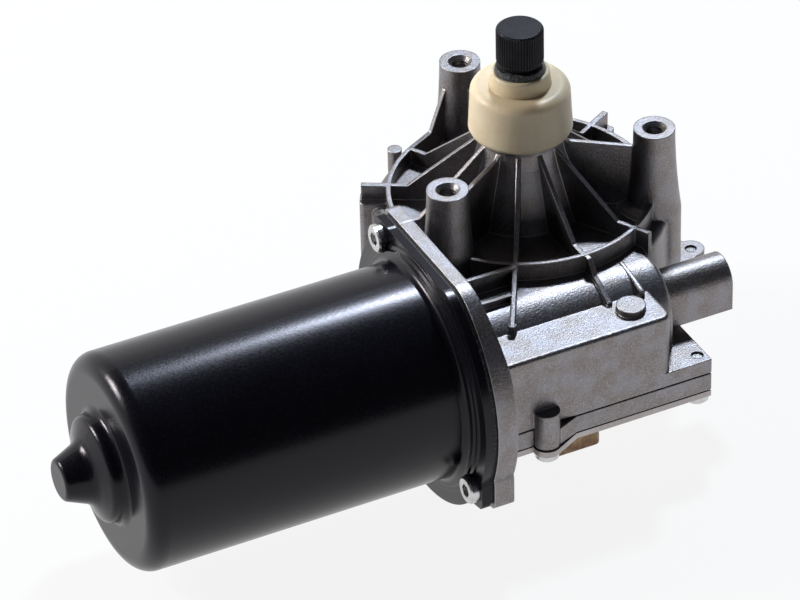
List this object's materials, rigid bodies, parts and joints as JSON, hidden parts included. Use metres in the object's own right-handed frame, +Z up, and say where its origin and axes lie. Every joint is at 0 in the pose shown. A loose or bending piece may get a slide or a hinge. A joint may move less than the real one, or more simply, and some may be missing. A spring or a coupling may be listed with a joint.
{
  "type": "wiper motor",
  "caption": "Windscreen wiper motor: black steel can, ribbed aluminium gear housing on posts, worm gear inside, knurled output shaft in a plastic collar.",
  "frame": {"origin": "on the output shaft's axis, level with the tops of the mounting posts", "axes": "+Z up along the output shaft, X along the motor axis with the can towards -X, the motor lies on the -Y side"},
  "size_m": [0.2059, 0.1217, 0.1091],
  "materials": {
    "cast_aluminium": "as-cast, fine grain, bright on worn edges",
    "base_plate": "plain stamped plate",
    "black_paint": "gloss black dip paint",
    "seal_rubber": "matte",
    "screw_steel": "zinc plated",
    "black_steel": "black oxide, satin",
    "shaft_steel": "ground",
    "ivory_plastic": "moulded, satin",
    "amber_plastic": "moulded, slightly translucent",
    "dark_plastic": "moulded",
    "wheel_plastic": "moulded, greased",
    "bronze": "sintered",
    "copper": "bare",
    "tinned_brass": "tin plated",
    "core_steel": "stacked sheets",
    "ferrite": "sintered",
    "carbon": "pressed"
  },
  "bodies": {
    "housing": {"base_plate": "base_plate", "brush_1": "carbon", "brush_2": "carbon", "brush_box_1": "copper", "brush_box_2": "copper", "brush_plate": "dark_plastic", "brush_spring_1": "copper", "brush_spring_2": "copper", "can_gasket": "seal_rubber", "can_screw_lower": "screw_steel", "can_screw_upper": "screw_steel", "case_gasket": "seal_rubber", "connector_blade_1": "tinned_brass", "connector_blade_2": "tinned_brass", "connector_blade_3": "tinned_brass", "connector_blade_4": "tinned_brass", "connector_housing": "amber_plastic", "contact_carrier": "dark_plastic", "contact_spring_1": "copper", "contact_spring_2": "copper", "contact_spring_3": "copper", "cover_screw_1": "screw_steel", "cover_screw_2": "screw_steel", "cover_screw_3": "screw_steel", "cover_screw_4": "screw_steel", "cover_screw_5": "screw_steel", "front_bearing": "shaft_steel", "gear_housing": "cast_aluminium", "lower_bush": "bronze", "lower_case": "cast_aluminium", "magnet_1": "ferrite", "magnet_2": "ferrite", "magnet_3": "ferrite", "magnet_4": "ferrite", "motor_can": "black_paint", "plate_gasket": "seal_rubber", "rear_bearing": "bronze", "thrust_pad": "dark_plastic", "upper_bush": "bronze", "worm_end_bush": "bronze"},
    "output": {"output_shaft": "black_steel", "thrust_washer": "shaft_steel", "retaining_ring": "shaft_steel", "shaft_collar": "ivory_plastic", "collar_seal": "seal_rubber", "worm_wheel": "wheel_plastic", "park_disc": "copper"},
    "armature": {"armature_shaft": "shaft_steel", "armature_core": "core_steel", "armature_windings": "copper", "commutator": "copper"}
  },
  "joints": [
    {"name": "armature_spin", "type": "hinge", "parent": "housing", "child": "armature", "pos_m": [0, -0.039, -0.0388], "axis": [1, 0, 0], "continuous": true},
    {"name": "output_spin", "type": "hinge", "parent": "housing", "child": "output", "pos_m": [0, 0, 0], "axis": [0, 0, 1], "continuous": true}
  ],
  "couplings": [
    {"joint": "output_spin", "follows": "armature_spin", "ratio": -0.017857}
  ]
}
